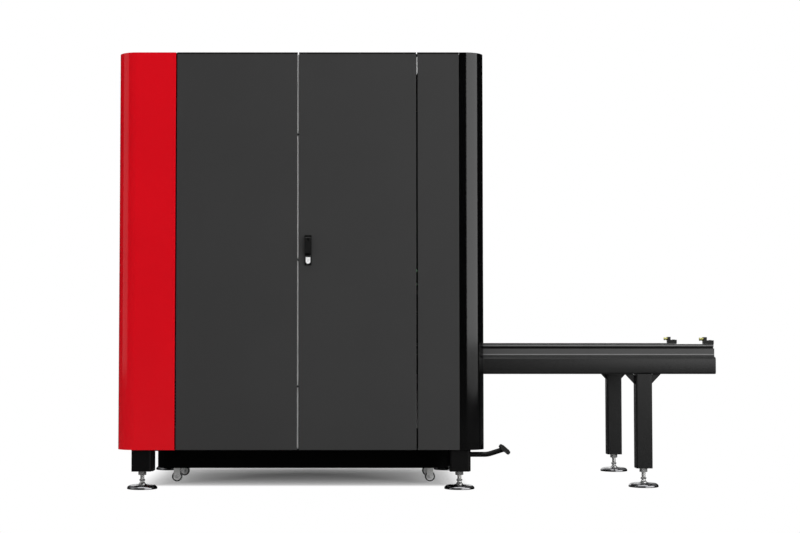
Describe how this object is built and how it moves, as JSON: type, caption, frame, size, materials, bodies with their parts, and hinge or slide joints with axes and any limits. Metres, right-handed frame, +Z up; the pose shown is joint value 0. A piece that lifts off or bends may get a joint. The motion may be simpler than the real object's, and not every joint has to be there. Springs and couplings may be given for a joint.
{
  "type": "laser cutting machine",
  "caption": "Enclosed sheet-metal laser cutter: red and black rounded corners, grey service doors, pull-out slatted table on a railed stand, slag cart underneath.",
  "frame": {"origin": "centre of the bounding box at floor level", "axes": "+X along the table's pull-out direction, +Y away from the side with the service doors, +Z up"},
  "size_m": [2.805, 1.2102, 2],
  "materials": {
    "grey_panel": "satin powder coat",
    "red_panel": "gloss paint",
    "black_gloss": "gloss paint",
    "frame_paint": "satin paint",
    "stand_paint": "satin paint",
    "dark_chrome": "polished",
    "zinc": "zinc plated",
    "black_steel": "black oxide",
    "rail_steel": "ground",
    "yellow_zinc": "yellow zinc",
    "strip_aluminium": "satin",
    "handle_black": "satin",
    "lock_chrome": "polished",
    "window_glass": "tinted",
    "screen_black": "gloss",
    "button_green": "gloss",
    "button_black": "gloss",
    "button_red": "gloss",
    "gear_plate_zinc": "galvanised",
    "gear_grey": "matt",
    "unit_grey": "satin",
    "inner_paint": "satin",
    "slat_steel": "raw",
    "gantry_aluminium": "machined",
    "head_black": "anodised",
    "nozzle_brass": "turned",
    "cart_paint": "satin paint",
    "wheel_plastic": "moulded",
    "pedal_rubber": "matt"
  },
  "bodies": {
    "machine": {"base_frame": "frame_paint", "levelling_pads": "dark_chrome", "levelling_screws": "zinc", "rear_cover_near": "red_panel", "rear_cover_far": "red_panel", "front_column_near": "black_gloss", "front_column_far": "black_gloss", "side_strip_near": "grey_panel", "far_side_panels": "grey_panel", "roof_panel": "frame_paint", "rear_panel": "grey_panel", "duct_spigot": "zinc", "front_lower_panel": "grey_panel", "front_fascia": "black_gloss", "touch_screen": "screen_black", "upper_right_hinge": "zinc", "door_hinges": "black_steel", "centre_strip": "strip_aluminium", "table_rails": "rail_steel", "stand_beams": "stand_paint", "stand_legs": "stand_paint", "stop_brackets": "black_steel", "stop_bolts": "yellow_zinc", "gantry_rails": "rail_steel", "gear_shelves": "inner_paint", "water_chiller": "unit_grey", "laser_source": "unit_grey", "gear_plate": "gear_plate_zinc", "servo_drives": "gear_grey", "circuit_breakers": "gear_grey", "controller": "gear_grey", "partition": "inner_paint", "slag_chutes": "inner_paint"},
    "left_leaf": {"left_door": "grey_panel"},
    "right_leaf": {"right_door": "grey_panel", "handle_plate": "handle_black", "lock_cylinder": "lock_chrome"},
    "handle_turner": {"handle_hub": "handle_black"},
    "handle_flap": {"handle_lever": "handle_black"},
    "lock_slider": {"lock_bar": "black_steel"},
    "window_door": {"front_door": "black_gloss", "front_window": "window_glass", "front_grip": "zinc"},
    "table": {"table_frame": "frame_paint", "table_slats": "slat_steel", "table_carriages": "rail_steel", "table_apron": "grey_panel"},
    "gantry": {"gantry_beam": "gantry_aluminium"},
    "cross_carriage": {"head_carriage": "gantry_aluminium"},
    "laser_head": {"cutting_head": "head_black", "nozzle": "nozzle_brass"},
    "pedal": {"pedal_lever": "frame_paint", "pedal_pad": "pedal_rubber"},
    "cart": {"slag_bin": "cart_paint", "caster_forks": "zinc"},
    "cart_rear_wheels": {"rear_wheels": "wheel_plastic"},
    "cart_front_wheels": {"front_wheels": "wheel_plastic"},
    "start_key": {"start_button": "button_green"},
    "stop_key": {"stop_button": "button_black"},
    "emergency_key": {"emergency_stop": "button_red"}
  },
  "joints": [
    {"name": "left_door_hinge", "type": "hinge", "parent": "machine", "child": "left_leaf", "pos_m": [-1.072, -0.581, 1.09], "axis": [0, 0, -1], "range_deg": [0, 105]},
    {"name": "right_door_hinge", "type": "hinge", "parent": "machine", "child": "right_leaf", "pos_m": [-0.003, -0.581, 1.09], "axis": [0, 0, 1], "range_deg": [0, 105]},
    {"name": "handle_turn", "type": "hinge", "parent": "right_leaf", "child": "handle_turner", "pos_m": [-0.4835, -0.6, 1.144], "axis": [0, -1, 0], "range_deg": [0, 90]},
    {"name": "handle_lift", "type": "hinge", "parent": "handle_turner", "child": "handle_flap", "pos_m": [-0.4835, -0.6074, 1.144], "axis": [-1, 0, 0], "range_deg": [0, 40]},
    {"name": "lock_bar_slide", "type": "slide", "parent": "right_leaf", "child": "lock_slider", "axis": [0, 0, 1], "range_m": [0, 0.022]},
    {"name": "front_door_hinge", "type": "hinge", "parent": "machine", "child": "window_door", "pos_m": [0.3135, -0.461, 1.3], "axis": [0, 0, -1], "range_deg": [0, 105]},
    {"name": "table_slide", "type": "slide", "parent": "machine", "child": "table", "axis": [1, 0, 0], "range_m": [0, 1.009]},
    {"name": "gantry_slide", "type": "slide", "parent": "machine", "child": "gantry", "axis": [1, 0, 0], "range_m": [-0.23, 0.245]},
    {"name": "head_cross_slide", "type": "slide", "parent": "gantry", "child": "cross_carriage", "axis": [0, 1, 0], "range_m": [-0.4, 0.4]},
    {"name": "head_lift", "type": "slide", "parent": "cross_carriage", "child": "laser_head", "axis": [0, 0, 1], "range_m": [0, 0.08]},
    {"name": "pedal_press", "type": "hinge", "parent": "machine", "child": "pedal", "pos_m": [0.2275, -0.455, 0.151], "axis": [0, 1, 0], "range_deg": [0, 10], "stiffness_Nm_per_rad": 25, "springref_deg": -11.46},
    {"name": "cart_roll", "type": "slide", "parent": "machine", "child": "cart", "axis": [-1, 0, 0], "range_m": [0, 1.2]},
    {"name": "rear_wheel_spin", "type": "hinge", "parent": "cart", "child": "cart_rear_wheels", "pos_m": [-1.1245, 0, 0.025], "axis": [0, -1, 0], "continuous": true},
    {"name": "front_wheel_spin", "type": "hinge", "parent": "cart", "child": "cart_front_wheels", "pos_m": [0.0895, 0, 0.025], "axis": [0, -1, 0], "continuous": true},
    {"name": "start_press", "type": "slide", "parent": "machine", "child": "start_key", "axis": [-1, 0, 0], "range_m": [0, 0.004], "stiffness_N_per_m": 500, "springref_m": -0.002},
    {"name": "stop_press", "type": "slide", "parent": "machine", "child": "stop_key", "axis": [-1, 0, 0], "range_m": [0, 0.004], "stiffness_N_per_m": 500, "springref_m": -0.002},
    {"name": "emergency_press", "type": "slide", "parent": "machine", "child": "emergency_key", "axis": [-1, 0, 0], "range_m": [0, 0.004], "stiffness_N_per_m": 1500, "springref_m": -0.002}
  ],
  "couplings": [
    {"joint": "handle_turn", "follows": "lock_bar_slide", "rad_per_m": 71.39},
    {"joint": "rear_wheel_spin", "follows": "cart_roll", "rad_per_m": 40},
    {"joint": "front_wheel_spin", "follows": "cart_roll", "rad_per_m": 40}
  ]
}
